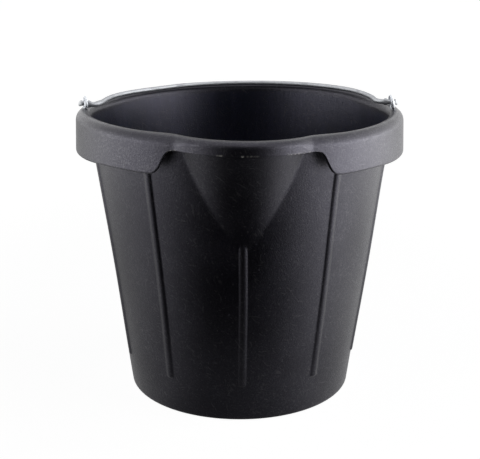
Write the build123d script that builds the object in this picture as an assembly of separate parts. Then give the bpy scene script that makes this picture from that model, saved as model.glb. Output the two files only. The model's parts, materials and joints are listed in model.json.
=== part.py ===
from build123d import *
import math
import os

# Rubber moulding: one piece with a tapered wall, a collar round the rim, a pouring lip and ribs.
# All lengths are millimetres. The front, with the pouring lip, faces -Y, and the floor is z = 0.
bucket_height = 293.0
base_radius = 115.2          # outside of the wall at the floor
mouth_radius = 153.6         # outside of the wall, carried up to the rim
wall_thickness = 6.3         # measured level
base_thickness = 9.0
base_edge_rounding = 3.0
floor_rounding = 10.0        # inside, where the wall meets the floor

# Collar: a solid rim with a skirt hanging from it, hollow behind
collar_overhang = 10.9       # the collar stands out beyond the wall's mouth by this much
rim_depth = 13.0             # solid rubber below the rim's top, and the band across the lip
rim_inner_rounding = 8.0
rim_outer_rounding = 6.0
skirt_drop = 36.8            # rim's top to the skirt's lower edge
skirt_thickness = 4.0
skirt_flare = 1.5            # extra radius at the lower edge
skirt_edge_rounding = 1.2

# Gap in the skirt below the pouring lip, seen from the front
gap_half_width_low = 82.0
gap_half_width_high = 66.0
gap_corner_rounding = 7.0

# Pouring lip and the spout bulge under it
lip_radius = 90.0            # outer face of the lip, seen from above
lip_projection = 12.5        # beyond the collar
lip_dip = 0.6                # the lip's band sits lower than the rim by this much
lip_overhang = 5.0           # the lip's band stands out over the spout by this much
lip_chamfer = 3.0            # along the lip's inner edge
spout_length = 122.0         # from the rim's top to the spout's lower tip
spout_radius = 66.0          # outside, just under the lip's band

# Ribs on the wall
rib_count = 10
rib_half_width = 4.2
rib_height = 3.2
rib_start = 39.5             # lower end above the floor
rib_bury = 1.6               # the front rib runs into the spout until it is this many times covered

# Eye bolts, one at each side of the rim
bolt_radius = 2.5
eye_wire_radius = 2.0        # half the thickness of the ring's bar
bolt_seat_depth = 23.0       # rim's top to the face that the washer bears on
bolt_spare = 2.5             # thread left below the nut
bolt_chamfer = 0.5
boss_half_width = 9.0        # rubber pad that fills the collar's hollow round the bolt
hole_clearance = 0.1
pocket_clearance = 0.3

# Washer and nut under the rim
washer_radius = 5.0
washer_thickness = 1.0
nut_half_flats = 4.0
nut_height = 4.0
thread_clearance = 0.05

# Wire bail
wire_radius = 2.5
eye_play = 0.7               # round the wire in the ring
end_play = 0.4               # along the wire, each side of the ring
head_margin = 0.3            # the headed end is wider than the ring's hole by this much
head_length = 4.7
head_tip_radius = 1.4
head_tip_rounding = 0.8
head_clearance = 0.5         # between the headed end and the rim's top
crimp_margin = 0.5           # the crimp is wider than the ring's hole by this much
crimp_half_thickness = 2.1
crimp_length = 3.0
bend_radius = 6.0            # centre line, at each shoulder
leg_length = 2.0             # straight wire between shoulder and arch
perch_angle = 41.0           # where the wire lies on the rim's inner rounding, degrees from its top
perch_clearance = 0.3

# Worked out from the sizes above
wall_slope = (mouth_radius - base_radius) / bucket_height
collar_radius = mouth_radius + collar_overhang
rim_underside = bucket_height - rim_depth
skirt_edge = bucket_height - skirt_drop
bolt_seat = bucket_height - bolt_seat_depth
beyond = 2.0 * wall_thickness    # how far a cutting form runs past the rubber


def wall_outside(height):
    """Outer radius of the tapered wall at a height."""
    return base_radius + wall_slope * height


def wall_inside(height):
    """Inner radius of the tapered wall at a height."""
    return wall_outside(height) - wall_thickness


def skirt_outside(height):
    """Outer radius of the collar, which widens towards the skirt's lower edge."""
    return collar_radius + skirt_flare * (bucket_height - height) / skirt_drop


def skirt_inside(height):
    """Inner radius of the skirt at a height."""
    return skirt_outside(height) - skirt_thickness


# The bolts stand in the middle of the collar's hollow, and the bail turns in their rings.
ear_radius = 0.5 * (wall_outside(bolt_seat) + skirt_inside(bolt_seat))
eye_hole_radius = wire_radius + eye_play
eye_ring_radius = eye_hole_radius + eye_wire_radius
head_radius = eye_hole_radius + head_margin
crimp_half_height = eye_hole_radius + crimp_margin
hinge_height = bucket_height + head_radius + head_clearance

# The bail lies back on the rim's inner rounding.
rounding_height = bucket_height - rim_inner_rounding
rounding_radius = wall_inside(rounding_height) + rim_inner_rounding
perch_distance = rim_inner_rounding + wire_radius + perch_clearance
perch_radius = rounding_radius - perch_distance * math.sin(math.radians(perch_angle))
perch_height = rounding_height + perch_distance * math.cos(math.radians(perch_angle))
bail_reach = math.hypot(perch_radius, hinge_height - perch_height)
bail_tilt = math.degrees(math.atan2(hinge_height - perch_height, perch_radius))
bail_half_span = bail_reach - leg_length - bend_radius

# The spout is a slanting cone whose tip lies on the wall.
spout_tip = bucket_height - spout_length
spout_front = collar_radius + lip_projection - lip_overhang
spout_centre = spout_front - spout_radius
spout_lean = (wall_outside(spout_tip) - spout_centre) / (rim_underside - spout_tip)
spout_growth = spout_radius / (rim_underside - spout_tip)
lip_centre = collar_radius + lip_projection - lip_radius


def turned(outline, *roundings):
    """Solid turned round the bucket's axis; each rounding is a corner of the outline and a radius."""
    profile = make_face(Polyline(*outline, close=True))
    for corner, radius in roundings:
        nearest = profile.vertices().sort_by_distance(corner)[0]
        profile = fillet(nearest, radius)
    return revolve(Plane.XZ * profile, Axis.Z)


def outer_form():
    """The moulding's outside: tapered wall, solid rim and hollow collar, filled inside."""
    wall_top = (wall_outside(rim_underside), rim_underside)
    hollow_top = (skirt_inside(rim_underside), rim_underside)
    edge_inside = (skirt_inside(skirt_edge), skirt_edge)
    edge_outside = (skirt_outside(skirt_edge), skirt_edge)
    shoulder = (skirt_outside(bucket_height), bucket_height)
    foot = (base_radius, 0)
    outline = [(0, 0), foot, wall_top, hollow_top, edge_inside, edge_outside, shoulder, (0, bucket_height)]
    return turned(
        outline,
        (foot, base_edge_rounding),
        (edge_inside, skirt_edge_rounding),
        (edge_outside, skirt_edge_rounding),
        (shoulder, rim_outer_rounding),
    )


def skirt_gap():
    """The piece of skirt left out below the lip, with sloping sides and rounded corners."""
    low = skirt_edge - beyond
    wide = gap_half_width_low + 2.0 * gap_corner_rounding
    low_corner = (gap_half_width_low, skirt_edge)
    high_corner = (gap_half_width_high, rim_underside)
    right = [(wide, low), (wide, skirt_edge), low_corner, high_corner]
    left = [(-x, z) for x, z in reversed(right)]
    window = make_face(Polyline(*right, *left, close=True))
    for corner in (right[2:] + left[:2]):
        window = fillet(window.vertices().sort_by_distance(corner)[0], gap_corner_rounding)
    prism = extrude(Plane.XZ * window, amount=collar_radius + skirt_flare + beyond)
    hollow_middle = 0.5 * (wall_outside(rim_underside) + skirt_inside(rim_underside))
    outside = skirt_outside(skirt_edge) + beyond
    section = [(hollow_middle, low), (outside, low), (outside, rim_underside), (hollow_middle, rim_underside)]
    ring = turned(section)
    return prism & ring


def lip_form():
    """The pouring lip's band: a short round plug whose front stands out of the collar."""
    shoulder = (lip_radius, bucket_height)
    outline = [(0, rim_underside), (lip_radius, rim_underside), shoulder, (0, bucket_height)]
    return Pos(0, -lip_centre, -lip_dip) * turned(outline, (shoulder, rim_outer_rounding))


def spout_circle(height, thinner=0.0, wider=0.0):
    """Level circle of the slanting spout cone at a height, drawn in by the wall where it is thinner."""
    rise = height - spout_tip
    centre = wall_outside(spout_tip) - spout_lean * rise
    return Pos(0, -centre, height) * Circle(spout_growth * rise - thinner + wider)


def spout_apex(thinner=0.0):
    """Tip of the slanting cone, or of the smaller cone inside it."""
    rise = thinner / spout_growth
    return Vertex(0, -(wall_outside(spout_tip) - spout_lean * rise), spout_tip + rise)


def spout_form():
    """The spout's bulge, from its tip on the wall up into the lip's band."""
    return loft([spout_apex(), spout_circle(bucket_height - rim_outer_rounding)])


def spout_channel():
    """The hollow of the spout, with a chamfer along the lip's inner edge."""
    chamfer_start = bucket_height - lip_chamfer
    channel = loft([spout_apex(wall_thickness), spout_circle(chamfer_start, wall_thickness)])
    mouth = spout_circle(chamfer_start, wall_thickness)
    brim = spout_circle(bucket_height, wall_thickness, lip_chamfer)
    above = extrude(brim, amount=beyond)
    return channel + loft([mouth, brim]) + above


def rib(angle, top):
    """A half-round bead up the wall with a ball end, at an angle from the front."""
    bead_radius = (rib_half_width**2 + rib_height**2) / (2.0 * rib_height)
    sunk = bead_radius - rib_height
    low = (0, -(wall_outside(rib_start + bead_radius) - sunk), rib_start + bead_radius)
    high = (0, -(wall_outside(top) - sunk), top)
    spine = Edge.make_line(low, high)
    bead = sweep(Plane(origin=low, z_dir=spine % 0) * Circle(bead_radius), path=spine)
    return Rot(0, 0, angle) * (bead + Pos(*low) * Sphere(bead_radius))


def ribs():
    """The ribs, spread evenly from the front; the front one ends in the spout."""
    spout_slope = (spout_front - wall_outside(spout_tip)) / (rim_underside - spout_tip)
    front_top = spout_tip + rib_bury * rib_height / (spout_slope - wall_slope)
    side_top = rim_underside + rib_height
    step = 360.0 / rib_count
    return [rib(place * step, side_top if place else front_top) for place in range(rib_count)]


def cavity():
    """The inside of the bucket, with a rounded floor corner and the rim's inner rounding."""
    floor_corner = (wall_inside(base_thickness), base_thickness)
    rim_corner = (wall_inside(bucket_height), bucket_height)
    clear = wall_inside(bucket_height) + rim_inner_rounding
    top = bucket_height + beyond
    outline = [(0, base_thickness), floor_corner, rim_corner, (clear, bucket_height), (clear, top), (0, top)]
    return turned(outline, (floor_corner, floor_rounding), (rim_corner, rim_inner_rounding))


def bolt_boss(side):
    """Rubber pad under the rim that fills the collar's hollow round one bolt."""
    inner = wall_outside(bolt_seat) - 0.5 * wall_thickness
    outer = skirt_inside(rim_underside) + 0.5 * skirt_thickness
    height = rim_underside + skirt_thickness - bolt_seat
    pad = Box(outer - inner, 2.0 * boss_half_width, height)
    return Pos(side * 0.5 * (inner + outer), 0, bolt_seat + 0.5 * height) * pad


def eye_ring(bar_radius):
    """Ring of the eye bolt, standing across the wire, before it is put in its place."""
    return Rot(0, 90, 0) * Torus(eye_ring_radius, bar_radius)


def upright_cylinder(radius, low, high):
    """Upright cylinder between two heights."""
    return Pos(0, 0, 0.5 * (low + high)) * Cylinder(radius, high - low)


def bolt_seat_cut(side):
    """Hole for the bolt, a dent for its ring and room for the washer and nut."""
    dent = Pos(0, 0, hinge_height) * eye_ring(eye_wire_radius + hole_clearance)
    hole = upright_cylinder(bolt_radius + hole_clearance, skirt_edge, hinge_height - eye_ring_radius)
    room = upright_cylinder(washer_radius + pocket_clearance, skirt_edge - beyond, bolt_seat)
    return Pos(side * ear_radius, 0, 0) * (dent + hole + room)


def bucket_body():
    """The whole rubber moulding."""
    body = outer_form() - skirt_gap()
    body = body + lip_form() + spout_form()
    body = body + ribs()
    body = body - cavity() - spout_channel()
    for side in (-1, 1):
        body = body + bolt_boss(side)
        body = body - bolt_seat_cut(side)
    return body


def eye_bolt(side):
    """Ring with a straight shank that goes down through the rim."""
    low = bolt_seat - washer_thickness - nut_height - bolt_spare
    shank = upright_cylinder(bolt_radius, low, hinge_height - eye_ring_radius)
    shank = chamfer(shank.faces().sort_by(Axis.Z)[0].edges(), bolt_chamfer)
    ring = Pos(0, 0, hinge_height) * eye_ring(eye_wire_radius)
    return Pos(side * ear_radius, 0, 0) * (shank + ring)


def washer(side):
    """Plain washer against the rubber pad."""
    bore = bolt_radius + thread_clearance
    ring = upright_cylinder(washer_radius, bolt_seat - washer_thickness, bolt_seat)
    hole = upright_cylinder(bore, skirt_edge, bucket_height)
    return Pos(side * ear_radius, 0, 0) * (ring - hole)


def nut(side):
    """Hexagon nut below the washer."""
    top = bolt_seat - washer_thickness
    hexagon = RegularPolygon(nut_half_flats, 6, major_radius=False)
    block = extrude(Pos(0, 0, top - nut_height) * hexagon, amount=nut_height)
    hole = upright_cylinder(bolt_radius + thread_clearance, skirt_edge, bucket_height)
    return Pos(side * ear_radius, 0, 0) * (block - hole)


def bail_path():
    """Centre line of the bail lying level behind the hinge: two ends, two shoulders and one arch."""
    end = ear_radius + eye_wire_radius + end_play + 0.5 * head_length
    bend = bail_half_span + bend_radius
    start = bend_radius + leg_length
    left = Line((-end, 0), (-bend, 0))
    left_bend = TangentArc(left @ 1, (-bail_half_span, bend_radius), tangent=left % 1)
    left_leg = Line(left_bend @ 1, (-bail_half_span, start))
    arch = TangentArc(left_leg @ 1, (bail_half_span, start), tangent=left_leg % 1)
    right_leg = Line(arch @ 1, (bail_half_span, bend_radius))
    right_bend = TangentArc(right_leg @ 1, (bend, 0), tangent=right_leg % 1)
    right = Line(right_bend @ 1, (end, 0))
    return Wire([left, left_bend, left_leg, arch, right_leg, right_bend, right])


def headed_end(side):
    """Mushroomed end outside the ring, tapering outwards."""
    start = ear_radius + eye_wire_radius + end_play
    head = Cone(head_radius, head_tip_radius, head_length)
    head = fillet(head.edges().group_by(Axis.Z)[-1], head_tip_rounding)
    return Rot(0, side * 90, 0) * Pos(0, 0, start + 0.5 * head_length) * head


def crimp(side):
    """Flattened stretch of wire inside the ring, wider than the ring's hole."""
    centre = ear_radius - eye_wire_radius - end_play - 0.5 * crimp_length
    wings = extrude(Ellipse(crimp_half_height, crimp_half_thickness), amount=0.5 * crimp_length, both=True)
    return Rot(0, side * 90, 0) * Pos(0, 0, centre) * wings


def bail_handle():
    """The wire bail, lying back on the rim."""
    path = bail_path()
    wire = sweep(Plane(origin=path @ 0, z_dir=path % 0) * Circle(wire_radius), path=path)
    for side in (-1, 1):
        wire = wire + headed_end(side) + crimp(side)
    return Pos(0, 0, hinge_height) * Rot(-bail_tilt, 0, 0) * wire


parts = {
    "bucket_body": bucket_body(),
    "bail_handle": bail_handle(),
    "left_eye_bolt": eye_bolt(-1),
    "right_eye_bolt": eye_bolt(1),
    "left_washer": washer(-1),
    "right_washer": washer(1),
    "left_nut": nut(-1),
    "right_nut": nut(1),
}

os.makedirs("parts", exist_ok=True)
for name, solid in parts.items():
    export_step(solid, f"parts/{name}.step")
    print(name, "volume", round(solid.volume), "mm3")

print("hinge height", round(hinge_height, 2), "ear radius", round(ear_radius, 2))
print("bail reach", round(bail_reach, 2), "tilt", round(bail_tilt, 3), "degrees below level at rest")
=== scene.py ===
# %% [markdown]
# # A rubber bucket with a wire bail
# The bucket is one thick moulding of black rubber: a tapered wall, a deep collar that hangs from the
# rim, a pouring lip with a bulge below it, and ribs. A galvanised wire swings in two eye bolts.
# The measured model already has every piece at its real size and place, in metres. This script
# keeps that frame, lays finer surfaces over it, and gives each of them its finish.

# %% Load the measured model
import json
import math

import bpy
import numpy as np
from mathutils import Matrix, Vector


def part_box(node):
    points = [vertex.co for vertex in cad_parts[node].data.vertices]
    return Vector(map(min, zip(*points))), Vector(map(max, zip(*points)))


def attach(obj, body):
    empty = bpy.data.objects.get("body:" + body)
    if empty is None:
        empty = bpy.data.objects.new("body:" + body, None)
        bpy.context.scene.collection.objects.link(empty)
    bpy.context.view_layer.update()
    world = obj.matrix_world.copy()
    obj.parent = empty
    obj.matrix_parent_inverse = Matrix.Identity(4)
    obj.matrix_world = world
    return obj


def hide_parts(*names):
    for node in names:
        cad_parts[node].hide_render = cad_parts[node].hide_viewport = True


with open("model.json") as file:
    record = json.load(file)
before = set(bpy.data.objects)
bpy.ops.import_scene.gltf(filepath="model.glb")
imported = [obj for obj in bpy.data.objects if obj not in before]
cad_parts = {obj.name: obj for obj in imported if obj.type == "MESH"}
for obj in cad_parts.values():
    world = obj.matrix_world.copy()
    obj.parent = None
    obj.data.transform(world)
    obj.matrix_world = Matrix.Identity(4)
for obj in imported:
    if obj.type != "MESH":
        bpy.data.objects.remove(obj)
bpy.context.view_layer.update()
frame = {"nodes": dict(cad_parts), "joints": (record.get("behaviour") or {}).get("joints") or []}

# %% [markdown]
# ## The view
# The photograph looks down into the bucket from a little left of its front. A camera could be placed
# by eye, but here its distance, height and tilt come from matching the rim, the base and the ribs
# with the picture, so that the render can be laid over it. The picture is 480 pixels wide.

# %% Place the camera
picture_width = 480.0
focal_length = 1059.3  # in pixels of that picture
axis_column = 239.7  # where the bucket's axis stands in the picture
camera_distance = 1.0647  # level distance from the bucket's axis
camera_height = 0.4838
camera_turn = math.radians(1.28)  # to the left of the bucket's front
camera_tilt = math.radians(16.8)  # below level


def put_in_scene(name, data):
    """New object that shows a camera, a mesh or a lamp."""
    thing = bpy.data.objects.new(name, data)
    bpy.context.scene.collection.objects.link(thing)
    return thing


view = bpy.data.cameras.new("view")
view.lens = view.sensor_width * focal_length / picture_width
view.shift_x = 0.5 - axis_column / picture_width
camera = put_in_scene("camera", view)
camera.location = (
    -camera_distance * math.sin(camera_turn),
    -camera_distance * math.cos(camera_turn),
    camera_height,
)
camera.rotation_euler = (0.5 * math.pi - camera_tilt, 0.0, -camera_turn)
bpy.context.scene.camera = camera
print("lens", round(view.lens, 1), "mm, shift", round(view.shift_x, 4))

# %% [markdown]
# ## From grids to meshes
# Every new piece below is a grid of points: rows along the piece, columns round it. One helper turns
# such a grid into a closed mesh. Columns join up round the piece, and the first and last rows each
# end in a single point, like the poles of a globe. A second helper stores a number for each point,
# such as how worn the piece is there, for its finish to read.

# %% Grid helpers
def closed_mesh(name, points, poles):
    """Mesh of a grid whose columns close round the piece. Each quad joins neighbours in two rows.

    Fans of triangles join the first and the last row to the two poles.
    """
    rows, columns = points.shape[:2]
    number = np.arange(rows * columns).reshape(rows, columns)
    beside = np.roll(number, -1, axis=1)
    quads = np.stack([number[:-1], beside[:-1], beside[1:], number[1:]], axis=-1).reshape(-1, 4)
    first_pole = rows * columns
    last_pole = first_pole + 1
    faces = quads.tolist()
    faces += [[first_pole, b, a] for a, b in zip(number[0].tolist(), beside[0].tolist())]
    faces += [[last_pole, a, b] for a, b in zip(number[-1].tolist(), beside[-1].tolist())]
    corners = np.vstack([points.reshape(-1, 3), poles])
    mesh = bpy.data.meshes.new(name)
    mesh.from_pydata(corners.tolist(), [], faces)
    mesh.polygons.foreach_set("use_smooth", np.ones(len(faces), dtype=bool))
    mesh.update()
    piece = put_in_scene(name, mesh)
    print(name, "has", len(corners), "points and", len(faces), "faces")
    return piece


def add_layer(piece, label, values, at_poles):
    """Stores a value for each point of the grid, and one for both poles, under a label."""
    layer = piece.data.attributes.new(label, "FLOAT", "POINT")
    layer.data.foreach_set("value", np.append(values.ravel(), [at_poles, at_poles]).astype(np.float32))


# %% [markdown]
# ## The moulding's plan
# A moulding like this could be carved from a turned solid with cuts and fillets, which is how the
# measured model is made. Here it is one surface instead: for each angle round the axis, a section
# runs from the middle of the underside, up the outside, over the rim and down to the middle of the
# floor inside. Soft joins between the forms then cost nothing: the larger of two radii is taken, with
# the corner between them rounded off. Angles are counted from the front, where the lip is.

# %% Soft joins, steps and humps
def soft_max(a, b, blend):
    """The larger of a and b. Where they differ by less than blend, a parabola rounds the corner."""
    near = np.clip(blend - np.abs(a - b), 0.0, None)
    return np.maximum(a, b) + near**2 / (4.0 * blend)


def ease(share):
    """Smooth step from 0 to 1: 3 s^2 - 2 s^3, flat outside that range."""
    share = np.clip(share, 0.0, 1.0)
    return share * share * (3.0 - 2.0 * share)


def hump(away, width, power=2):
    """1 in the middle and next to nothing a few widths away: e to the minus (away / width)^power."""
    return np.exp(-((away / width) ** power))


def span(values):
    """The smallest and the largest of some values, in words."""
    return f"{values.min():.4f} to {values.max():.4f}"


# %% Columns round the bucket
rib_count = 10
rib_step = 2.0 * math.pi / rib_count
front_rib_turn = -0.0045  # the rib in front stands a little to the left
right_rib_turn = math.radians(2.5)  # and the one at the right side a little further back
column_count = 480
rib_crowd = 6.5  # how much closer columns stand on each rib
rib_reach = 2.6  # and up to how many degrees from its middle
lip_crowd = 4.0
lip_reach = 33.0
ear_degrees = 90.0
ear_crowd = 3.0
ear_reach = 7.0


def nearest_rib(angle):
    """Number of the nearest rib, counted from the front, and the angle from its middle."""
    rib = np.round(angle / rib_step)
    turned = np.where(rib == 0, front_rib_turn, np.where(rib == 2, right_rib_turn, 0.0))
    return rib, angle - rib_step * rib - turned


def crowding(degrees):
    """How closely columns stand: 1, and more on each rib, across the lip and at the two ears."""
    from_rib = np.degrees(nearest_rib(np.radians(degrees))[1])
    on_rib = rib_crowd * hump(from_rib, rib_reach, 4)
    on_lip = lip_crowd * hump(degrees, lip_reach, 8)
    on_ear = ear_crowd * hump(np.abs(degrees) - ear_degrees, ear_reach, 4)
    return 1.0 + on_rib + on_lip + on_ear


fine_degrees = np.linspace(-180.0, 180.0, 7201)
running = np.cumsum(crowding(fine_degrees))
column_places = np.linspace(running[0], running[-1], column_count + 1)[:-1]
angle = np.radians(np.interp(column_places, running, fine_degrees))[None, :]
print("columns stand", span(np.degrees(np.diff(angle))), "degrees apart")

# %% [markdown]
# ## The wall, the spout and the ribs
# The wall is a plain cone. The spout leaves it gently and then curves out to the lip, so that at each
# height it is a circle of the same size which stands further and further forward of the axis. The ribs
# are low beads with a blunt lower end. The one in front fades out where the spout begins.

# %% Wall
body_low, body_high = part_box("bucket_body")
bucket_height = body_high.z
base_radius = 0.1156
mouth_radius = 0.1538
wall_thickness = 0.0063
rim_wall_thickness = 0.0034  # the wall thins evenly towards the rim
wall_slope = (mouth_radius - base_radius) / bucket_height


def wall_outside(height):
    """Outer radius of the wall: a straight line in height."""
    return base_radius + wall_slope * height


print("wall leans out by", round(math.degrees(math.atan(wall_slope)), 2), "degrees")

# %% Spout
rim_depth = 0.013  # from the rim's top to its underside
rim_underside = bucket_height - rim_depth
spout_length = 0.118
spout_tip = bucket_height - spout_length
spout_radius = 0.0625
spout_thickness = 0.0088
spout_blend = 0.0017  # at the rim, and less towards the tip
least_blend_share = 0.02  # but never quite none
lip_front = -body_low.y
lip_overhang = 0.0035  # the lip stands out over the spout by this much
spout_front = lip_front - lip_overhang


def level_circle(forward, radius):
    """Distance from the axis, along each angle, to the far side of a circle standing forward of it.

    It is forward times the cosine, plus the root of the radius squared less the square of forward
    times the sine.
    """
    inside = radius**2 - (forward * np.sin(angle)) ** 2
    return np.where(inside > 0.0, forward * np.cos(angle) + np.sqrt(np.clip(inside, 0.0, None)), 0.0)


def with_spout(wall, height, thinner, flare):
    """The wall's radius joined softly to the spout's circle.

    The circle's front stands off the wall by a parabola: the throw times the squared share of the way
    from the tip to the rim. Below the tip it sinks into the wall along the same curve, turned over.
    """
    share = np.minimum((height - spout_tip) / (rim_underside - spout_tip), 1.0)
    throw = spout_front - wall_outside(rim_underside)
    front = wall_outside(height) + throw * share * np.abs(share) - thinner
    radius = spout_radius - thinner + flare
    blend = spout_blend * np.clip(share, least_blend_share, None) ** 1.5
    return soft_max(wall, level_circle(front - radius, radius), blend)


print("spout from height", round(spout_tip, 4), "to", round(rim_underside, 4))

# %% Ribs
rib_half_width = 0.0041
rib_height = 0.0017
front_rib_share = 0.86  # the one in front stands less proud
rib_start = 0.0383
rib_end_length = 0.0041  # over this length the lower end rounds off
front_rib_end = 0.1950
front_rib_fade = 0.0120
rib_blend = 0.0007
bead_radius = (rib_half_width**2 + rib_height**2) / (2.0 * rib_height)


def rib_rise(height):
    """Height of the beads above the wall: a circle's arc across each rib, and a blunt lower end.

    The end's outline is a squarish oval: the squared share across and the fifth power of the share
    down add up to 1.
    """
    rib, from_rib = nearest_rib(angle)
    across = wall_outside(height) * np.sin(from_rib)
    down = np.clip((rib_start + rib_end_length - height) / rib_end_length, 0.0, 2.0)
    below = rib_half_width * down**2.5
    arc = np.sqrt(np.clip(bead_radius**2 - across**2 - below**2, 0.0, None))
    rise = soft_max(arc - bead_radius + rib_height, np.zeros_like(arc), rib_blend)
    in_front_share = front_rib_share * ease((front_rib_end - height) / front_rib_fade)
    return rise * np.where(rib == 0, in_front_share, 1.0)


print(rib_count, "ribs with arcs of radius", round(bead_radius, 4))

# %% Both sides of the wall
channel_flare = 0.024  # the channel inside opens out towards the lip
flare_drop = 0.010  # from this far below the rim's underside
flare_start = rim_underside - flare_drop


def outside(height):
    """Outer radius of the wall with its ribs and the spout's bulge."""
    return with_spout(wall_outside(height) + rib_rise(height), height, 0.0, 0.0)


def inside(height):
    """Inner radius of the wall with the spout's channel."""
    flare = channel_flare * ease((height - flare_start) / (bucket_height - flare_start))
    thickness = wall_thickness + (rim_wall_thickness - wall_thickness) * height / bucket_height
    wall = wall_outside(height) - thickness
    return with_spout(wall, height, spout_thickness, flare)


print("mouth reaches", span(inside(bucket_height)), "m from the axis")

# %% [markdown]
# ## The collar and the pouring lip
# The collar is a skirt that hangs from the rim and stands clear of the wall. Below the lip it is cut
# up to a narrow band, with an S-shaped side at each end of the cut. The lip itself is a circle that
# stands further forward than the collar, and the two meet in a fairly sharp crease. Crumbs of flash,
# thin rubber that the mould squeezed out, are left along the band.

# %% Collar and lip
collar_radius = 0.1645
skirt_drop = 0.0368
skirt_reach = body_high.x
skirt_thickness = 0.004
lip_radius = 0.090
crease_blend = 0.0007


def collar(height):
    """Outer radius of the collar: a skirt that widens downwards, or the lip's circle if larger."""
    down = np.minimum((bucket_height - height) / skirt_drop, 1.0)
    skirt = collar_radius + (skirt_reach - collar_radius) * down
    return soft_max(skirt, level_circle(lip_front - lip_radius, lip_radius), crease_blend)


# %% Lower edge of the collar
left_gap = 0.0740  # from the middle to halfway up each side of the cut
right_gap = 0.0765
gap_slope = 0.0053  # a smaller value makes those sides steeper
side_drop = 0.0030  # the skirt hangs a little lower at the two sides
side_middle = math.radians(84.0)
side_width = math.radians(30.0)
skirt_edge = bucket_height - skirt_drop
band_rise = 0.0004  # the band's edge lies just above the rim's underside
band_edge = rim_underside + band_rise


def lower_edge():
    """Height of the collar's lower edge: the skirt's, rising along a tanh curve to the band's."""
    sideways = np.where(np.cos(angle) > 0.0, np.abs(skirt_reach * np.sin(angle)), skirt_reach)
    half_gap = np.where(angle < 0.0, left_gap, right_gap)
    rise = 0.5 + 0.5 * np.tanh((half_gap - sideways) / gap_slope)
    deeper = side_drop * hump(np.abs(angle) - side_middle, side_width, 4)
    return skirt_edge - deeper + (band_edge - skirt_edge) * rise


# %% Flash along the band
flash_drop = 0.0003
flash_width = math.radians(0.4)
left_crumbs = [(-24.2, 0.7), (-22.9, 0.8), (-21.6, 0.7), (-7.5, 0.7), (-6.6, 1.0), (-0.5, 1.0)]
right_crumbs = [(0.9, 0.45), (1.9, 0.55), (2.9, 0.4), (3.7, 0.45), (12.9, 0.5), (13.9, 0.6), (15.1, 0.7),
                (16.4, 0.8), (18.2, 0.6), (20.4, 0.6)]
crumb_degrees, crumb_shares = np.array(left_crumbs + right_crumbs).T
near_crumb = hump(angle.T - np.radians(crumb_degrees), flash_width)
flash = (near_crumb * crumb_shares).max(axis=1)[None, :]
edge = lower_edge() - flash_drop * flash
print("lower edge at", span(edge))

# %% [markdown]
# ## The whole section
# The section is put together from stretches of rows, from the underside's middle to the floor's.
# Under the rim, two solid pads fill the collar's hollow round the bolts. Rows stand closer where the
# section turns, so that smooth shading keeps the edges. Each stretch is a radius, a height and a
# share of wear.

# %% Pads round the bolts
pad_half_width = 0.009
pad_ramp = 0.0015
pad_depth = 0.023  # from the rim's top to the pad's underside, where the bolt sits
bolt_seat = bucket_height - pad_depth
hollow_rise = 0.0012  # the hollow reaches a little higher than the rim's underside
hollow_top = rim_underside + hollow_rise
ear_radius = -0.5 * (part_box("left_nut")[0].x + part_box("left_nut")[1].x)
to_ear = np.abs(ear_radius * np.cos(angle))
pad = ease((pad_half_width + pad_ramp - to_ear) / pad_ramp)
roof = hollow_top - pad * (hollow_top - bolt_seat)
print("hollow's roof at", span(roof))

# %% Underside and outer wall
base_edge_rounding = 0.003
foot_wear = 0.35
rib_wear = 0.5
bend_start = 0.25  # from here up, rows bend down to meet the pads


def column(*values):
    """Values down a column, one for each row."""
    return np.concatenate([np.atleast_1d(v) for v in values])[:, None]


sections = []


def add_rows(radius, height, wear=0.0):
    """Adds a stretch of rows to the section: radius, height and wear, carried round all columns."""
    sections.append(np.broadcast_arrays(radius, height, wear, angle)[:3])


foot_rows = column(0.25, 0.5, 0.75, 0.92, 1.0) * (base_radius - base_edge_rounding)
foot_turn = np.radians(np.linspace(-90.0, -math.degrees(wall_slope), 6))[:, None]
foot_centre = wall_outside(base_edge_rounding) - base_edge_rounding * math.hypot(1.0, wall_slope)
plain_heights = column(
    np.linspace(0.005, 0.035, 7),
    np.linspace(0.0365, 0.0455, 16),  # the ribs' lower ends
    np.linspace(0.050, 0.165, 20),
    np.linspace(0.1685, hollow_top, 48),  # the spout
)
lowered = np.clip((plain_heights - bend_start) / (hollow_top - bend_start), 0.0, None)
wall_heights = plain_heights - lowered * (hollow_top - roof)

add_rows(foot_rows, 0.0)
add_rows(foot_centre + base_edge_rounding * np.cos(foot_turn),
         base_edge_rounding * (1.0 + np.sin(foot_turn)), foot_wear)
add_rows(outside(wall_heights), wall_heights, rib_wear * rib_rise(wall_heights) / rib_height)
print("outer wall has", len(wall_heights), "rows")

# %% Hollow under the collar, skirt and its edge
most_edge_rounding = 0.0012
edge_rounding_share = 0.4  # of the height between the edge and the roof, at most
inner_edge_wear = 0.6
outer_edge_wear = 1.0
edge_rounding = np.minimum(most_edge_rounding, edge_rounding_share * (roof - edge))
edge_outside = collar(edge + edge_rounding)
edge_inside = edge_outside - skirt_thickness
across_roof = column(0.12, 0.5, 0.88)
roof_outer = collar(roof) - skirt_thickness
down_skirt = column(0.04, 0.3, 0.6, 0.85)
skirt_heights = roof + down_skirt * (edge + edge_rounding - roof)
edge_turn = np.radians(np.linspace(0.0, 90.0, 4))[:, None]
short_of_cos = edge_rounding * (1.0 - np.cos(edge_turn))
short_of_sin = edge_rounding * (1.0 - np.sin(edge_turn))

add_rows(outside(roof) + across_roof * (roof_outer - outside(roof)), roof)
add_rows(collar(skirt_heights) - skirt_thickness, skirt_heights)
add_rows(edge_inside + short_of_cos, edge + short_of_sin, inner_edge_wear)
add_rows(edge_outside - short_of_sin, edge + short_of_cos, outer_edge_wear)
print("skirt's edge is rounded by", span(edge_rounding))

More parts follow.
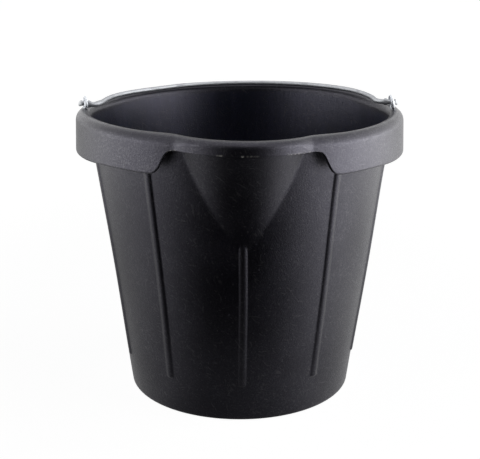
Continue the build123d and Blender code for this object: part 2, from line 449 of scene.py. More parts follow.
# %% Collar face and rim
rim_inner_share = 0.24  # of the rim's width, the part that rounds over inwards
rim_flat_share = 0.20  # and the narrow flat on top
rim_inner_depth = 0.0055
rim_outer_depth = 0.0098
lip_outer_depth = 0.0058
lip_join = 0.004  # the rim turns into the lip where it stands out by this much
collar_wear = 0.15
rim_wear = 0.3

on_lip = ease((collar(bucket_height - lip_outer_depth) - skirt_reach) / lip_join)
outer_depth = rim_outer_depth + on_lip * (lip_outer_depth - rim_outer_depth)
rim_outer = collar(bucket_height - outer_depth)
rim_width = rim_outer - inside(bucket_height)
outer_width = (1.0 - rim_inner_share - rim_flat_share) * rim_width
inner_width = rim_inner_share * rim_width
up_collar = column(0.04, 0.1, 0.2, 0.32, 0.45, 0.6, 0.75, 0.88, 0.96)
collar_low = edge + edge_rounding
collar_heights = collar_low + up_collar * (bucket_height - outer_depth - collar_low)
rim_turn = np.radians(np.linspace(0.0, 90.0, 12))[:, None]
inner_heights = bucket_height - rim_inner_depth * (1.0 - np.cos(rim_turn))

add_rows(collar(collar_heights), collar_heights, collar_wear)
add_rows(rim_outer - outer_width * (1.0 - np.cos(rim_turn)),
         bucket_height - outer_depth * (1.0 - np.sin(rim_turn)), rim_wear)
add_rows(inside(inner_heights) + inner_width * (1.0 - np.sin(rim_turn)), inner_heights, rim_wear)
outside_rows = sum(len(section[0]) for section in sections)
print("rim is", span(rim_width), "m wide")

# %% Inside wall and floor
base_thickness = 0.009
floor_rounding = 0.010
down_wall = column(np.linspace(0.03, 1.0, 34) ** 1.25)
wall_top = bucket_height - rim_inner_depth
inside_heights = wall_top + down_wall * (base_thickness + floor_rounding - wall_top)
floor_turn = np.radians(np.linspace(15.0, 90.0, 6))[:, None]
floor_edge = inside(base_thickness + floor_rounding)
floor_rows = column(0.9, 0.75, 0.5, 0.25) * (base_radius - wall_thickness - floor_rounding)

add_rows(inside(inside_heights), inside_heights)
add_rows(floor_edge - floor_rounding * (1.0 - np.cos(floor_turn)),
         base_thickness + floor_rounding * (1.0 - np.sin(floor_turn)))
add_rows(floor_rows, base_thickness)
radius, height, wear = (np.vstack(stretches) for stretches in zip(*sections))
print("section has", len(radius), "rows")

# %% [markdown]
# ## Soft rubber isn't true
# A rubber rim doesn't stay flat. In the photograph the collar stands about a millimetre high at the
# front left and low at the front right, and the other way round at the back, so the rim is bent like
# a saddle. It also sags a little behind each ear and at the rear, its top slopes inwards away from
# the lip, and the ring of each eye bolt presses a small dent into it. Each of these is a small
# change of height that fades out down the wall.

# %% Saddle and sags
saddle = 0.0013
saddle_start = 0.13
saddle_full = bucket_height - 0.01
ear_sags = [(0.0022, -114.0, 22.0), (0.0034, 109.0, 20.0)]  # depth, and middle and width in degrees
rear_sag = 0.0012  # under the middle of the bail
rear_sag_width = math.radians(50.0)
sag_start = 0.20
sag_ramp = 0.05

grown = ease((height - saddle_start) / (saddle_full - saddle_start))
bent = height - saddle * np.sin(2.0 * angle) * grown
sag = rear_sag * hump(math.pi - np.abs(angle), rear_sag_width, 4)
for depth, middle, width in ear_sags:
    sag = sag + depth * hump(angle - math.radians(middle), math.radians(width))
bent = bent - sag * ease((height - sag_start) / sag_ramp)
print("rim sags by", span(sag))

# %% Slope of the rim's top, and dents
ear_droop = 0.0030  # beside each bolt, the inner edge is drawn down
ear_droop_middle = math.radians(96.0)
ear_droop_width = math.radians(13.0)
inner_slope = 0.0024  # away from the lip, the rim's top slopes inwards
slope_start = math.radians(26.0)
slope_ramp = math.radians(14.0)
rear_slope_start = math.radians(116.0)
rear_slope_loss = 0.5  # and less so behind the ears
slope_reach = 0.006  # inwards from the bolts
droop_start = 0.22
droop_ramp = 0.05
dent_depth = 0.0008
dent_width = 0.0065
dent_ramp = 0.01

at_ear = hump(np.abs(angle) - ear_droop_middle, ear_droop_width)
inwards = ease((ear_radius - radius) / slope_reach)
off_lip = ease((np.abs(angle) - slope_start) / slope_ramp)
off_lip = off_lip * (1.0 - rear_slope_loss * ease((np.abs(angle) - rear_slope_start) / slope_ramp))
drawn_down = ear_droop * at_ear + inner_slope * off_lip * (1.0 - at_ear)
bent = bent - drawn_down * inwards * ease((height - droop_start) / droop_ramp)
dent = np.exp(-((to_ear**2 + (radius - ear_radius) ** 2) / dent_width**2))
bent = bent - dent_depth * dent * ease((height - rim_underside) / dent_ramp)
print("inner edge is drawn down by", span(drawn_down))

# %% Place the moulding
lean = 0.0009  # the middle of the body stands a little to the right
lean_start = 0.02
lean_span = 0.23
flash_reach = 0.0011  # rows this close to the band's edge carry the pale crumbs

to_side = lean * np.sin(math.pi * np.clip((bent - lean_start) / lean_span, 0.0, 1.0)) ** 2
place = np.stack([radius * np.sin(angle) + to_side, -radius * np.cos(angle), bent], axis=-1)
bucket = closed_mesh("rubber_bucket", place, poles=[[0.0, 0.0, 0.0], [0.0, 0.0, base_thickness]])
inner = np.zeros_like(height)
inner[outside_rows:] = 1.0
add_layer(bucket, "wear", wear, 0.0)
add_layer(bucket, "flash", flash**2 * (np.abs(height - edge) < flash_reach), 0.0)
add_layer(bucket, "inner", inner, 0.0)
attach(bucket, "bucket")
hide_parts("bucket_body")

# %% [markdown]
# ## The wire bail
# The bail is one galvanised wire. Each end runs straight through a ring, is hammered to a head outside
# it and pinched flat inside it, and the rest is bent to an arch. A tube helper carries a round
# profile along a line of points. The profile may change along the line, so the heads and the
# pinched places are only a change of width and height.

# %% Tube helper
tube_sides = 24


def tube(name, line, up, half_width, half_height, ripple=1.0):
    """Closed tube: at each point of the line, an ellipse across it.

    Half widths run sideways and half heights up. Sideways is the line's direction crossed with up, and
    the section's up is sideways crossed with it. A ripple scales each point's distance from the line.
    """
    along = np.gradient(line, axis=0)
    along /= np.linalg.norm(along, axis=1, keepdims=True)
    sideways = np.cross(along, up)
    sideways /= np.linalg.norm(sideways, axis=1, keepdims=True)
    upward = np.cross(sideways, along)
    turn = np.linspace(0.0, 2.0 * math.pi, tube_sides, endpoint=False)
    across = (ripple * half_width[:, None] * np.cos(turn))[..., None] * sideways[:, None, :]
    rise = (ripple * half_height[:, None] * np.sin(turn))[..., None] * upward[:, None, :]
    return closed_mesh(name, line[:, None, :] + across - rise, poles=[line[0], line[-1]])


# %% Line of the bail, seen from above
wire_radius = 0.0025
bail_low, bail_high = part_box("bail_handle")
bail_end = bail_high.x
bend_radius = 0.011
half_span = 0.1412
bail_reach = bail_high.y - wire_radius
right_end_shift = 0.0018  # the right ring leans inwards and takes the wire's end with it
shift_start = 0.118
shift_ramp = 0.022

end_rows = bail_end - np.linspace(0.0, 1.0, 90) * (bail_end - half_span - bend_radius)
bend_turn = np.radians(np.linspace(0.0, 90.0, 12))[1:]
arch_turn = np.radians(np.linspace(0.0, 90.0, 70))[1:]
half_x = np.concatenate([
    end_rows,
    half_span + bend_radius * (1.0 - np.sin(bend_turn)),
    half_span * np.cos(arch_turn),
])
half_y = np.concatenate([
    0.0 * end_rows,
    bend_radius * (1.0 - np.cos(bend_turn)),
    bend_radius + (bail_reach - bend_radius) * np.sin(arch_turn),
])
line_x = np.concatenate([half_x, -half_x[-2::-1]])
line_x = line_x - right_end_shift * ease((line_x - shift_start) / shift_ramp)
line_y = np.concatenate([half_y, half_y[-2::-1]])
print("bail reaches", round(bail_reach, 4), "m back from the hinge, with", len(line_x), "points")

# %% Heads and pinched places
eye_bar_radius = 0.002
end_play = 0.0004
left_head_gap = 0.0007  # more room at the left, where the ring is turned
right_head_gap = 0.0002
head_reach = 0.0047  # from the ring to the head's tip
head_radius = 0.0035
head_tip = 0.0014
head_swell = 0.0012  # the wire swells to its head over this length
swell_lead = 0.0002
dome_start = 0.75  # of the head's length
dome_share = 0.97  # how much of a quarter circle rounds the tip
pinch_length = 0.003
pinch_ramp = 0.0008
pinch_half_height = 0.0037
pinch_half_width = 0.0021
right_pinch_gap = 0.0017  # the right one was made further along

at_right = line_x > 0.0
head_gap = np.where(at_right, right_head_gap, left_head_gap)
head_length = head_reach - head_gap
head_start = ear_radius + eye_bar_radius + end_play + head_gap
from_middle = np.where(at_right, line_x + right_end_shift, -line_x)
along_head = np.clip((from_middle - head_start) / head_length, 0.0, 1.0)
taper = head_radius + (head_tip - head_radius) * along_head
along_dome = np.clip((along_head - dome_start) / (1.0 - dome_start), 0.0, 1.0)
dome = np.sqrt(1.0 - (dome_share * along_dome) ** 2)
on_head = ease((from_middle - head_start + swell_lead) / head_swell)
pinch_gap = np.where(at_right, right_pinch_gap, 0.0)
pinch_middle = ear_radius - eye_bar_radius - end_play - 0.5 * pinch_length - pinch_gap
from_pinch = np.abs(from_middle - pinch_middle)
pinch = ease((0.5 * pinch_length + 0.5 * pinch_ramp - from_pinch) / pinch_ramp)
round_radius = wire_radius + on_head * (taper * dome - wire_radius)
wire_half_width = round_radius + pinch * (pinch_half_width - wire_radius)
wire_half_height = round_radius + pinch * (pinch_half_height - wire_radius)
print("wire is", span(2.0 * wire_half_height), "m high")

# %% Height of the line, and the wire itself
hinge_height = frame["joints"][0]["pos_m"][2]
droop = (bail_low.z + wire_radius - hinge_height) / bail_reach
sway_rise = 0.0010  # one side of the arch stands higher than the other
sway_across = 0.095  # by that much at this place
sway_back = 0.105
sway = sway_rise / (sway_across * sway_back)
arch_lift = 0.0004
head_droop = 0.0020  # the heads are hammered a little downwards
left_dip = 0.0011  # the left shoulder hangs
left_dip_start = 0.05
left_dip_ramp = 0.05
shoulder_back = 0.03  # full from this far behind the hinge
end_dip = 0.0018  # and so does the bend beside the left ring
end_dip_place = -0.147
end_dip_width = 0.008

line_z = hinge_height + droop * line_y + sway * line_x * line_y
line_z = line_z + arch_lift * np.sin(0.5 * np.pi * line_y / bail_reach)
line_z = line_z - head_droop * ease((from_middle - head_start) / head_length)
line_z = line_z - left_dip * ease((-line_x - left_dip_start) / left_dip_ramp) * ease(line_y / shoulder_back)
line_z = line_z - end_dip * hump(line_x - end_dip_place, end_dip_width)
bail_line = np.stack([line_x, line_y, line_z], axis=-1)
bail = tube("wire_bail", bail_line, np.array([0.0, 0.0, 1.0]), wire_half_width, wire_half_height)
add_layer(bail, "hammered", np.repeat(on_head, tube_sides), 1.0)
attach(bail, "bail")
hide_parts("bail_handle")

# %% [markdown]
# ## The eye bolts
# Each eye bolt is a rod bent round into a ring, with a thread on its lower end. It is the same tube
# again: the line goes straight up, swings out and then runs once round the hinge line. The thread is
# a ripple in the radius that climbs one pitch for each turn. The washers and nuts below are right as
# measured, so they only get a finish.

# %% Line of a rod
ring_radius = 0.0054
ring_top_rise = 0.0006  # the ring is drawn a little higher at its top
ring_turn = np.radians(np.linspace(-50.0, 248.0, 80))
shank_drop = 0.0090  # from the hinge line to the shank's top
shank_top = hinge_height - shank_drop
swing = np.linspace(0.0, 1.0, 14)[1:-1]
swing_pull = 0.004  # how strongly the swing keeps to the directions of its two ends


def rod_line():
    """Shank, swing and ring in a plane: sideways and upwards.

    The swing is a cubic that leaves the shank upwards and arrives along the ring.
    """
    shank = np.linspace(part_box("left_eye_bolt")[0].z, shank_top, 250)
    reach = ring_radius + ring_top_rise * np.clip(np.sin(ring_turn), 0.0, None) ** 2
    ring_side = reach * np.cos(ring_turn)
    ring_up = hinge_height + reach * np.sin(ring_turn)
    leave = swing_pull * (swing**3 - 2.0 * swing**2 + swing)
    arrive = swing_pull * (swing**3 - swing**2)
    step = ease(swing)
    swing_side = step * ring_side[0] - arrive * math.sin(ring_turn[0])
    swing_up = shank_top + step * (ring_up[0] - shank_top) + leave + arrive * math.cos(ring_turn[0])
    sideways = np.concatenate([0.0 * shank, swing_side, ring_side])
    upwards = np.concatenate([shank, swing_up, ring_up])
    return sideways, upwards, len(shank)


# %% Eye bolts
bolt_radius = 0.0025
thread_pitch = 0.0008
thread_depth = 0.0003
thread_run = 0.004  # the thread ends this far inside the pad
thread_top = bolt_seat + thread_run
chamfer_length = 0.0006
chamfer_share = 0.6
ring_bar_radius = 0.0018
ring_top_thinner = 0.0007
left_yaw = math.radians(-16.0)
right_yaw = math.radians(-7.0)


def eye_bolt(name, node, side, yaw, inwards):
    """The rod's line stood at one ear and turned by yaw about its shank, with its thread and taper.

    Above the shank it leans over, so that the hinge line's height stands inwards by the given length.
    """
    sideways, upwards, shank_rows = rod_line()
    along = np.stack([sideways * math.sin(yaw), sideways * math.cos(yaw), upwards], axis=-1)
    line = along + np.array([side * ear_radius, 0.0, 0.0])
    line[:, 0] -= side * inwards * np.clip((upwards - shank_top) / shank_drop, 0.0, None)
    past = np.clip(np.arange(len(line)) - shank_rows, 0, None) / len(swing)
    bar = bolt_radius + ease(past) * (ring_bar_radius - bolt_radius)
    high = ease((upwards - hinge_height) / ring_radius) * (past > 1.0)
    chamfer = np.clip((upwards - upwards[0]) / chamfer_length, chamfer_share, 1.0)
    bar = (bar - ring_top_thinner * high) * chamfer
    turn = np.linspace(0.0, 1.0, tube_sides, endpoint=False)[None, :]
    climb = np.mod(upwards[:, None] / thread_pitch - turn, 1.0)
    threaded = (upwards[:, None] < thread_top) * (past[:, None] == 0.0)
    ripple = 1.0 - threaded * (thread_depth / bolt_radius) * np.abs(2.0 * climb - 1.0)
    facing = np.array([math.cos(yaw), -math.sin(yaw), 0.0])
    rod = tube(name, line, facing, bar, bar, ripple)
    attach(rod, "bucket")
    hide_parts(node)
    return rod


left_eye = eye_bolt("left_eye", "left_eye_bolt", -1.0, left_yaw, 0.0)
right_eye = eye_bolt("right_eye", "right_eye_bolt", 1.0, right_yaw, right_end_shift)

# %% [markdown]
# ## Shared effects for the finishes
# Each finish is a small network of nodes. Three effects come back in several of them: cloudy patches,
# hair scratches and a fine grain. Each is a node group, built once, that puts out a mask or a height.
# A picture could give the same marks, but a pattern worked out from the place on the piece has no
# seams and stays sharp close up.

# %% Node helpers
def add(tree, kind, inputs=None, **settings):
    """Adds a shader node. Inputs are socket values, or sockets to link from; settings are its options."""
    made = tree.nodes.new("ShaderNode" + kind)
    for name, value in settings.items():
        setattr(made, name, value)
    for key, value in (inputs or {}).items():
        if isinstance(value, bpy.types.NodeSocket):
            tree.links.new(value, made.inputs[key])
        else:
            made.inputs[key].default_value = value
    return made


def start_group(name, numbers, result):
    """New node group with a Vector input, number inputs with defaults, and one number output."""
    tree = bpy.data.node_groups.new(name, "ShaderNodeTree")
    tree.interface.new_socket("Vector", in_out="INPUT", socket_type="NodeSocketVector")
    for label, value in numbers.items():
        socket = tree.interface.new_socket(label, in_out="INPUT", socket_type="NodeSocketFloat")
        socket.default_value = value
    tree.interface.new_socket(result, in_out="OUTPUT", socket_type="NodeSocketFloat")
    return tree, tree.nodes.new("NodeGroupInput"), tree.nodes.new("NodeGroupOutput")


def math_node(tree, operation, a, b=0.0):
    """One step of arithmetic on two numbers or sockets."""
    return add(tree, "Math", {0: a, 1: b}, operation=operation).outputs[0]


def times(tree, a, b):
    """Product of two numbers or sockets."""
    return math_node(tree, "MULTIPLY", a, b)


def ramp(tree, value, low, high):
    """0 at low, 1 at high, a smooth step between, and flat beyond them."""
    return add(tree, "MapRange", {"Value": value, "From Min": low, "From Max": high},
               interpolation_type="SMOOTHSTEP").outputs["Result"]


# %% Cloudy patches
patches, given, result = start_group("cloudy_patches", {"Scale": 40.0, "Low": 0.4, "High": 0.7}, "Mask")
cloud = add(patches, "TexNoise", {
    "Vector": given.outputs["Vector"], "Scale": given.outputs["Scale"], "Detail": 5.0, "Roughness": 0.6,
})
mask = ramp(patches, cloud.outputs["Fac"], given.outputs["Low"], given.outputs["High"])
patches.links.new(mask, result.inputs["Mask"])

# %% Hair scratches
stroke_turns = (0.5, 1.4, 2.6)  # three sets of strokes, turned differently
stroke_ramp = (0.72, 0.81)  # only the peaks of the noise show
wander = (0.03, 0.03, 0.03)  # how far the strokes wander from straight
scratches, given, result = start_group("hair_scratches", {"Scale": 600.0, "Length": 18.0}, "Mask")
bend = add(scratches, "TexNoise", {"Vector": given.outputs["Vector"], "Scale": 30.0, "Detail": 1.0})
bent_place = add(scratches, "VectorMath", {
    0: bend.outputs["Color"], 1: wander, 2: given.outputs["Vector"],
}, operation="MULTIPLY_ADD")
stretch = add(scratches, "CombineXYZ", {"X": 1.0, "Y": given.outputs["Length"], "Z": 1.0})
strokes = 0.0
for turned in stroke_turns:
    drawn_out = add(scratches, "Mapping", {
        "Vector": bent_place.outputs["Vector"],
        "Rotation": (turned, 0.3 * turned, 1.9 * turned),
        "Scale": stretch.outputs["Vector"],
    }, vector_type="TEXTURE")
    blots = add(scratches, "TexNoise", {
        "Vector": drawn_out.outputs["Vector"], "Scale": given.outputs["Scale"], "Detail": 0.0,
    })
    stroke = ramp(scratches, blots.outputs["Fac"], *stroke_ramp)
    strokes = math_node(scratches, "MAXIMUM", strokes, stroke)
scratches.links.new(strokes, result.inputs["Mask"])

# %% Fine grain
grain, given, result = start_group("fine_grain", {"Scale": 900.0}, "Height")
coarse = add(grain, "TexNoise", {
    "Vector": given.outputs["Vector"], "Scale": given.outputs["Scale"], "Detail": 4.0, "Roughness": 0.70,
})
grain.links.new(coarse.outputs["Fac"], result.inputs["Height"])
print("effects:", [group.name for group in bpy.data.node_groups])

# %% [markdown]
# ## Black rubber
# Moulded rubber is matt and nearly black, with a grey bloom in clouds, hair scratches from handling,
# pale crumbs of flash along the band and slightly rubbed edges. Inside it is bluer and streaked. One
# colour and one roughness would look like painted card, so the patterns below are laid over each
# other. The shine is weak and broad, so most of what shows is what it mirrors at the two sides.

# %% Finish helpers
def start_finish(name):
    """New material with its Principled shader, and the place on the piece to read patterns from."""
    material = bpy.data.materials.new(name)
    material.use_nodes = True
    tree = material.node_tree
    place_on_piece = add(tree, "TexCoord").outputs["Object"]
    return material, tree, tree.nodes["Principled BSDF"], place_on_piece


def use_group(tree, group, inputs):
    """Places a shared effect and returns its output."""
    return add(tree, "Group", inputs, node_tree=group).outputs[0]


def patchy(tree, place, scale, low, high):
    """Cloudy patches: a larger scale makes them smaller, and a lower range makes them fuller."""
    return use_group(tree, patches, {"Vector": place, "Scale": scale, "Low": low, "High": high})


def point_value(tree, label):
    """A number that the piece's points carry under a label."""
    return add(tree, "Attribute", attribute_name=label).outputs["Fac"]


def mix_colour(tree, share, a, b):
    """Colour a, turned into b by a share."""
    return add(tree, "Mix", {0: share, 6: a, 7: b}, data_type="RGBA").outputs[2]


def mix(tree, share, a, b):
    """Number a, turned into b by a share."""
    return add(tree, "Mix", {0: share, 2: a, 3: b}, data_type="FLOAT").outputs[0]


# %% Patterns on the rubber
streak_stretch = (1.0, 1.0, 0.12)  # streaks inside run upright
rubber, tree, shader, spot = start_finish("black_rubber")
upright = add(tree, "Mapping", {"Vector": spot, "Scale": streak_stretch})
bloom = patchy(tree, spot, 22.0, 0.35, 0.75)
specks = patchy(tree, spot, 420.0, 0.62, 0.78)
dust = patchy(tree, spot, 700.0, 0.41, 0.64)
pits = patchy(tree, spot, 210.0, 0.69, 0.77)
wax = patchy(tree, spot, 560.0, 0.46, 0.66)
streaks = patchy(tree, upright.outputs["Vector"], 75.0, 0.4, 0.7)
hairs = use_group(tree, scratches, {"Vector": spot, "Scale": 600.0, "Length": 18.0})
worn = point_value(tree, "wear")
crumbs = point_value(tree, "flash")
inner_side = point_value(tree, "inner")

# %% Colours of the rubber
deep_black = (0.0022, 0.0020, 0.0042, 1.0)
bloom_grey = (0.0078, 0.0074, 0.0118, 1.0)
inner_blue = (0.0120, 0.0160, 0.0320, 1.0)
streak_blue = (0.0300, 0.0330, 0.0640, 1.0)
dust_grey = (0.0170, 0.0165, 0.0195, 1.0)
scuff_grey = (0.0700, 0.0680, 0.0730, 1.0)
crumb_grey = (0.9000, 0.8800, 0.8400, 1.0)
marks = [(dust, 0.50, dust_grey), (specks, 0.35, scuff_grey),
         (hairs, 0.60, scuff_grey), (worn, 0.25, scuff_grey)]

colour = mix_colour(tree, bloom, deep_black, bloom_grey)
inner_colour = mix_colour(tree, streaks, inner_blue, streak_blue)
colour = mix_colour(tree, inner_side, colour, inner_colour)
for mask, strength, tone in marks:
    colour = mix_colour(tree, times(tree, mask, strength), colour, tone)
colour = mix_colour(tree, crumbs, colour, crumb_grey)
tree.links.new(colour, shader.inputs["Base Color"])
print("rubber has", len(marks), "kinds of marks over its bloom")

# %% Shine and grain of the rubber
bare_roughness = 0.30
bloom_roughness = 0.38
inner_roughness = 0.30
bare_wax = 0.22  # how much of a waxy coat the rubber has
bloom_wax = 0.60
inner_wax = 0.10
pit_depth = 0.8  # beside the grain's height of 1

matt = mix(tree, bloom, bare_roughness, bloom_roughness)
matt = mix(tree, inner_side, matt, inner_roughness)
tree.links.new(matt, shader.inputs["Roughness"])
wax_strength = mix(tree, bloom, bare_wax, bloom_wax)
wax_strength = mix(tree, inner_side, wax_strength, inner_wax)
tree.links.new(times(tree, wax, wax_strength), shader.inputs["Coat Weight"])
shader.inputs["Coat Roughness"].default_value = 0.33
shader.inputs["Specular Tint"].default_value = (0.845, 0.82, 1.0, 1.0)
height_of_grain = use_group(tree, grain, {"Vector": spot, "Scale": 750.0})
height_of_grain = math_node(tree, "SUBTRACT", height_of_grain, times(tree, pits, pit_depth))
bump = add(tree, "Bump", {"Height": height_of_grain, "Strength": 0.7, "Distance": 0.00035})
tree.links.new(bump.outputs["Normal"], shader.inputs["Normal"])
bucket.data.materials.append(rubber)
print("rubber finish has", len(tree.nodes), "nodes")

# %% [markdown]
# ## Galvanised wire and zinc plate
# The bail is drawn wire with a zinc coat that has dulled in patches, and its heads are beaten to a
# fine matt white. The eye bolts, washers and nuts are plated and brighter. Both are metals, so their
# look comes from what they reflect, and the nodes only vary the tint and the roughness.

# %% Metal finishes
hammered_white = (0.70, 0.71, 0.72, 1.0)
hammered_roughness = 0.85
scratch_share = 0.5  # a scratch dulls the metal half as much as a dull patch


def metal_finish(name, bright, dull, smooth, rough, patch_size):
    """Metal whose tint and roughness change in patches, with hair scratches and beaten places."""
    material, tree, shader, spot = start_finish(name)
    dulled = patchy(tree, spot, 1.0 / patch_size, 0.40, 0.70)
    hairs = use_group(tree, scratches, {"Vector": spot, "Scale": 6.0 / patch_size, "Length": 12.0})
    share = math_node(tree, "MAXIMUM", dulled, times(tree, hairs, scratch_share))
    hammered = point_value(tree, "hammered")
    tint = mix_colour(tree, hammered, mix_colour(tree, share, bright, dull), hammered_white)
    tree.links.new(tint, shader.inputs["Base Color"])
    matt = mix(tree, hammered, mix(tree, share, smooth, rough), hammered_roughness)
    tree.links.new(matt, shader.inputs["Roughness"])
    shader.inputs["Metallic"].default_value = 1.0
    height = use_group(tree, grain, {"Vector": spot, "Scale": 1800.0})
    bump = add(tree, "Bump", {"Height": height, "Strength": 0.15, "Distance": 0.0001})
    tree.links.new(bump.outputs["Normal"], shader.inputs["Normal"])
    return material


galvanised = metal_finish(
    "galvanised_wire", bright=(0.42, 0.43, 0.45, 1.0), dull=(0.34, 0.35, 0.37, 1.0),
    smooth=0.50, rough=0.65, patch_size=0.012,
)
zinc = metal_finish(
    "zinc_plate", bright=(0.66, 0.68, 0.71, 1.0), dull=(0.54, 0.56, 0.59, 1.0),
    smooth=0.60, rough=0.72, patch_size=0.006,
)
bail.data.materials.append(galvanised)
for rod in (left_eye, right_eye):
    rod.data.materials.append(zinc)
for name in ("left_washer", "right_washer", "left_nut", "right_nut"):
    plated = frame["nodes"][name]
    plated.data.materials.clear()
    plated.data.materials.append(zinc)
print("finishes:", [material.name for material in (rubber, galvanised, zinc)])

# %% [markdown]
# ## Floor, background and light
# The bucket stands on a plain white floor against white. A wide soft light stands at each side, the
# right one brighter, and the room behind the camera is dark, so the front of the rubber falls off to
# black. A whole studio could be built round it, but black rubber shows only what it mirrors, so floor
# and background get a level for each place and direction instead, which only reflections see. The
# levels were set until the greys matched: the room is fitted, not measured, and most of the
# grey on the rubber comes from it. The white is what the camera sees, and lights nothing.

# %% Floor
floor_half_width = 6.0
floor_height = -0.0003  # just clear of the underside
floor_mesh = bpy.data.meshes.new("floor")
floor_corners = [(x * floor_half_width, y * floor_half_width, floor_height)
                 for x, y in ((-1, -1), (1, -1), (1, 1), (-1, 1))]
floor_mesh.from_pydata(floor_corners, [], [(0, 1, 2, 3)])
floor = put_in_scene("floor", floor_mesh)
print("floor is", 2.0 * floor_half_width, "m wide")

# %% Places on the floor
side_ramp = (-0.3, 0.3)  # sideways, from the left half to the right half
dark_turn = math.radians(4.0)  # the floor is darkest in front, a little to the left
dark_way = (-math.sin(dark_turn), -math.cos(dark_turn), 0.0)

paper = bpy.data.materials.new("white_paper")
paper.use_nodes = True
tree = paper.node_tree
spot = add(tree, "TexCoord").outputs["Object"]
from_axis = add(tree, "VectorMath", {0: spot}, operation="LENGTH").outputs["Value"]
to_right = math_node(tree, "DIVIDE", add(tree, "SeparateXYZ", {0: spot}).outputs["X"], from_axis)
to_dark = add(tree, "VectorMath", {0: spot, 1: dark_way}, operation="DOT_PRODUCT").outputs["Value"]
to_dark = math_node(tree, "DIVIDE", to_dark, from_axis)
right_half = ramp(tree, to_right, *side_ramp)

# %% How bright the floor is in reflections, away from the bucket
left_glow = 0.64
right_glow = 1.24
behind_ramp = (0.2, -0.5)  # towards the dark way, from beside the bucket to behind it
front_ramp = (0.95, 0.42)  # and out of the dark in front
behind_near = 0.60  # shares behind the bucket, close to it and further off
behind_left = 0.95
behind_right = 0.76
behind_distance = (0.60, 1.30)

behind_far = mix(tree, right_half, behind_left, behind_right)
behind = mix(tree, ramp(tree, from_axis, *behind_distance), behind_near, behind_far)
far_glow = mix(tree, ramp(tree, to_dark, *behind_ramp), 1.0, behind)
far_glow = times(tree, far_glow, ramp(tree, to_dark, *front_ramp))
far_glow = times(tree, far_glow, mix(tree, right_half, left_glow, right_glow))

# %% Close to the bucket, and close to the lights
near_left_glow = 0.82
near_right_glow = 1.22
near_front_ramp = (1.0, 0.65)
near_front = 0.20  # shares in front of the bucket and elsewhere round it
near_round = 0.53
# Under the base the floor's glow for reflections falls to a painted shadow of the bucket.
base_shadow_glow = 0.25
base_shadow_share = 0.7  # of the base's radius, where that glow is reached
# Round the sides the floor glows less close to the bucket than further off. This is painted shade that only
# reflections show.
near_ramp = (0.17, 0.33)  # distances from the axis over which near turns into far
left_level = 1.90  # radiance of the lights, and of floor and room close to them
right_level = 3.50
lamp_side = (0.48, 0.90)  # close means sideways,
lamp_behind = (-1.05, 0.05)  # not behind the bucket
lamp_distances = (0.44, 1.05)  # and far from its axis

near_glow = mix(tree, ramp(tree, to_dark, *near_front_ramp), near_front, near_round)
near_glow = times(tree, near_glow, mix(tree, right_half, near_left_glow, near_right_glow))
base_shadow = ramp(tree, from_axis, base_radius, base_shadow_share * base_radius)
near_glow = mix(tree, base_shadow, near_glow, base_shadow_glow)
reflected = mix(tree, ramp(tree, from_axis, *near_ramp), near_glow, far_glow)
by_lamp = ramp(tree, math_node(tree, "ABSOLUTE", to_right), *lamp_side)
by_lamp = times(tree, by_lamp, ramp(tree, to_dark, *lamp_behind))
by_lamp = times(tree, by_lamp, ramp(tree, from_axis, *lamp_distances))
reflected = mix(tree, by_lamp, reflected, mix(tree, right_half, left_level, right_level))

# %% White paper
near_white = 0.955  # what the camera sees close to the bucket
white_distances = (0.35, 1.3)  # and pure white from the second distance on
shadow_grey = (0.30, 0.30, 0.30, 1.0)  # for the camera, so that shadows show
bounce_grey = (0.04, 0.04, 0.04, 1.0)  # for the rubber, which gets next to no light from below


def seen_level(tree, for_camera, for_reflections):
    """Brightness by kind of ray: one for the camera and through glass, one for reflections, else 0."""
    path = add(tree, "LightPath")
    direct = math_node(tree, "MAXIMUM", path.outputs["Is Camera Ray"], path.outputs["Is Transmission Ray"])
    direct = times(tree, direct, for_camera)
    mirrored = times(tree, path.outputs["Is Glossy Ray"], for_reflections)
    return math_node(tree, "MAXIMUM", direct, mirrored)


to_camera = add(tree, "LightPath").outputs["Is Camera Ray"]
matt = add(tree, "BsdfDiffuse", {"Color": mix_colour(tree, to_camera, bounce_grey, shadow_grey)})
white = mix(tree, ramp(tree, from_axis, *white_distances), near_white, 1.0)
glow = add(tree, "Emission", {"Strength": seen_level(tree, white, reflected)})
both = add(tree, "AddShader", {0: matt.outputs[0], 1: glow.outputs[0]})
from_below = add(tree, "NewGeometry").outputs["Backfacing"]
clear = add(tree, "BsdfTransparent")
paper_top = add(tree, "MixShader", {0: from_below, 1: both.outputs[0], 2: clear.outputs[0]})
tree.links.new(paper_top.outputs[0], tree.nodes["Material Output"].inputs["Surface"])
floor_mesh.materials.append(paper)
print("floor finish has", len(tree.nodes), "nodes")

# %% Room behind the bucket
back_level = 1.30  # how bright it is in reflections
back_slant = 0.6  # it fades out downwards and forwards
back_ramp = (-0.3, 0.5)
middle_ramp = (0.03, 0.17)  # sideways: straight behind the bucket it is darker
middle_share = 0.15
top_ramp = (0.55, 0.75)  # and bright again high up
top_share = 1.2

world = bpy.data.worlds.new("studio")
world.use_nodes = True
bpy.context.scene.world = world
tree = world.node_tree
toward = add(tree, "SeparateXYZ", {0: add(tree, "TexCoord").outputs["Generated"]})
sideways, backwards, upwards = (toward.outputs[axis] for axis in "XYZ")
slanted = math_node(tree, "ADD", upwards, times(tree, backwards, back_slant))
behind = ramp(tree, slanted, *back_ramp)
aside = ramp(tree, math_node(tree, "ABSOLUTE", sideways), *middle_ramp)
at_top = ramp(tree, upwards, *top_ramp)
middle = mix(tree, at_top, middle_share * back_level, top_share * back_level)
behind = times(tree, behind, mix(tree, aside, middle, back_level))

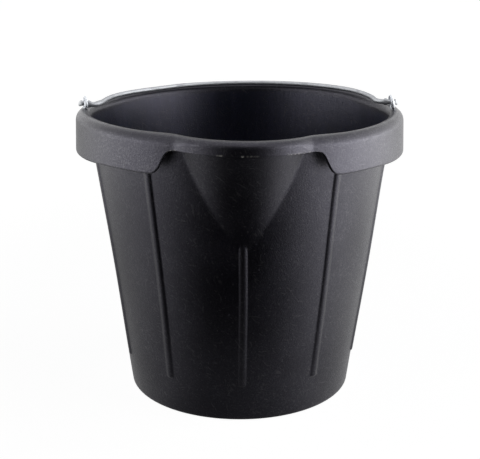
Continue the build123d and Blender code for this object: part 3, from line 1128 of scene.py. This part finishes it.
# %% Room round the lights
lamp_edge = 0.48  # sideways
lamp_full = 0.88
high_ramp = (0.30, 0.55)  # dimmer high up, except in front
high_back = (-0.50, 0.10)
high_share = 0.62
band_bottom = (0.04, 0.10)  # and dimmer in a low band, except in front
band_top = (0.42, 0.30)
band_back = (-0.60, -0.20)
left_band_share = 0.75
right_band_share = 0.55
fill_level = 0.015  # all that the room gives to matt colours

at_left = ramp(tree, sideways, -lamp_edge, -lamp_full)
at_right = ramp(tree, sideways, lamp_edge, lamp_full)
high = ramp(tree, upwards, *high_ramp)
high = times(tree, high, ramp(tree, backwards, *high_back))
fall = mix(tree, high, 1.0, high_share)
band = ramp(tree, upwards, *band_bottom)
band = times(tree, band, ramp(tree, upwards, *band_top))
band = times(tree, band, ramp(tree, backwards, *band_back))
left_room = times(tree, fall, mix(tree, band, left_level, left_band_share * left_level))
right_room = times(tree, fall, mix(tree, band, right_level, right_band_share * right_level))
room = mix(tree, at_right, mix(tree, at_left, behind, left_room), right_room)
level = math_node(tree, "MAXIMUM", seen_level(tree, 1.0, room), fill_level)
tree.links.new(level, tree.nodes["Background"].inputs["Strength"])
tree.nodes["Background"].inputs["Color"].default_value = (1.0, 1.0, 1.0, 1.0)
print("background has", len(tree.nodes), "nodes")

# %% Side lights
lamp_turn = math.radians(80.0)  # from the front to each side
lamp_rise = math.radians(5.0)  # above level
lamp_distance = 1.5
lamp_width = 1.7
lamp_height = 0.6
aim_height = 0.16


def soft_light(name, turn, radiance):
    """Rectangular lamp that faces the bucket, turned round it from the front.

    A matt emitter gives off radiance times pi times its area, which is the lamp's power.
    """
    lamp = bpy.data.lights.new(name, "AREA")
    lamp.shape = "RECTANGLE"
    lamp.size = lamp_width
    lamp.size_y = lamp_height
    lamp.energy = radiance * math.pi * lamp_width * lamp_height
    held = put_in_scene(name, lamp)
    out = lamp_distance * math.cos(lamp_rise)
    above_floor = aim_height + lamp_distance * math.sin(lamp_rise)
    held.location = (out * math.sin(turn), -out * math.cos(turn), above_floor)
    held.rotation_euler = (0.5 * math.pi - lamp_rise, 0.0, turn)
    print(name, "gives", round(lamp.energy, 2), "watts")


soft_light("left_light", -lamp_turn, left_level)
soft_light("right_light", lamp_turn, right_level)
bpy.context.scene.view_settings.view_transform = "Standard"
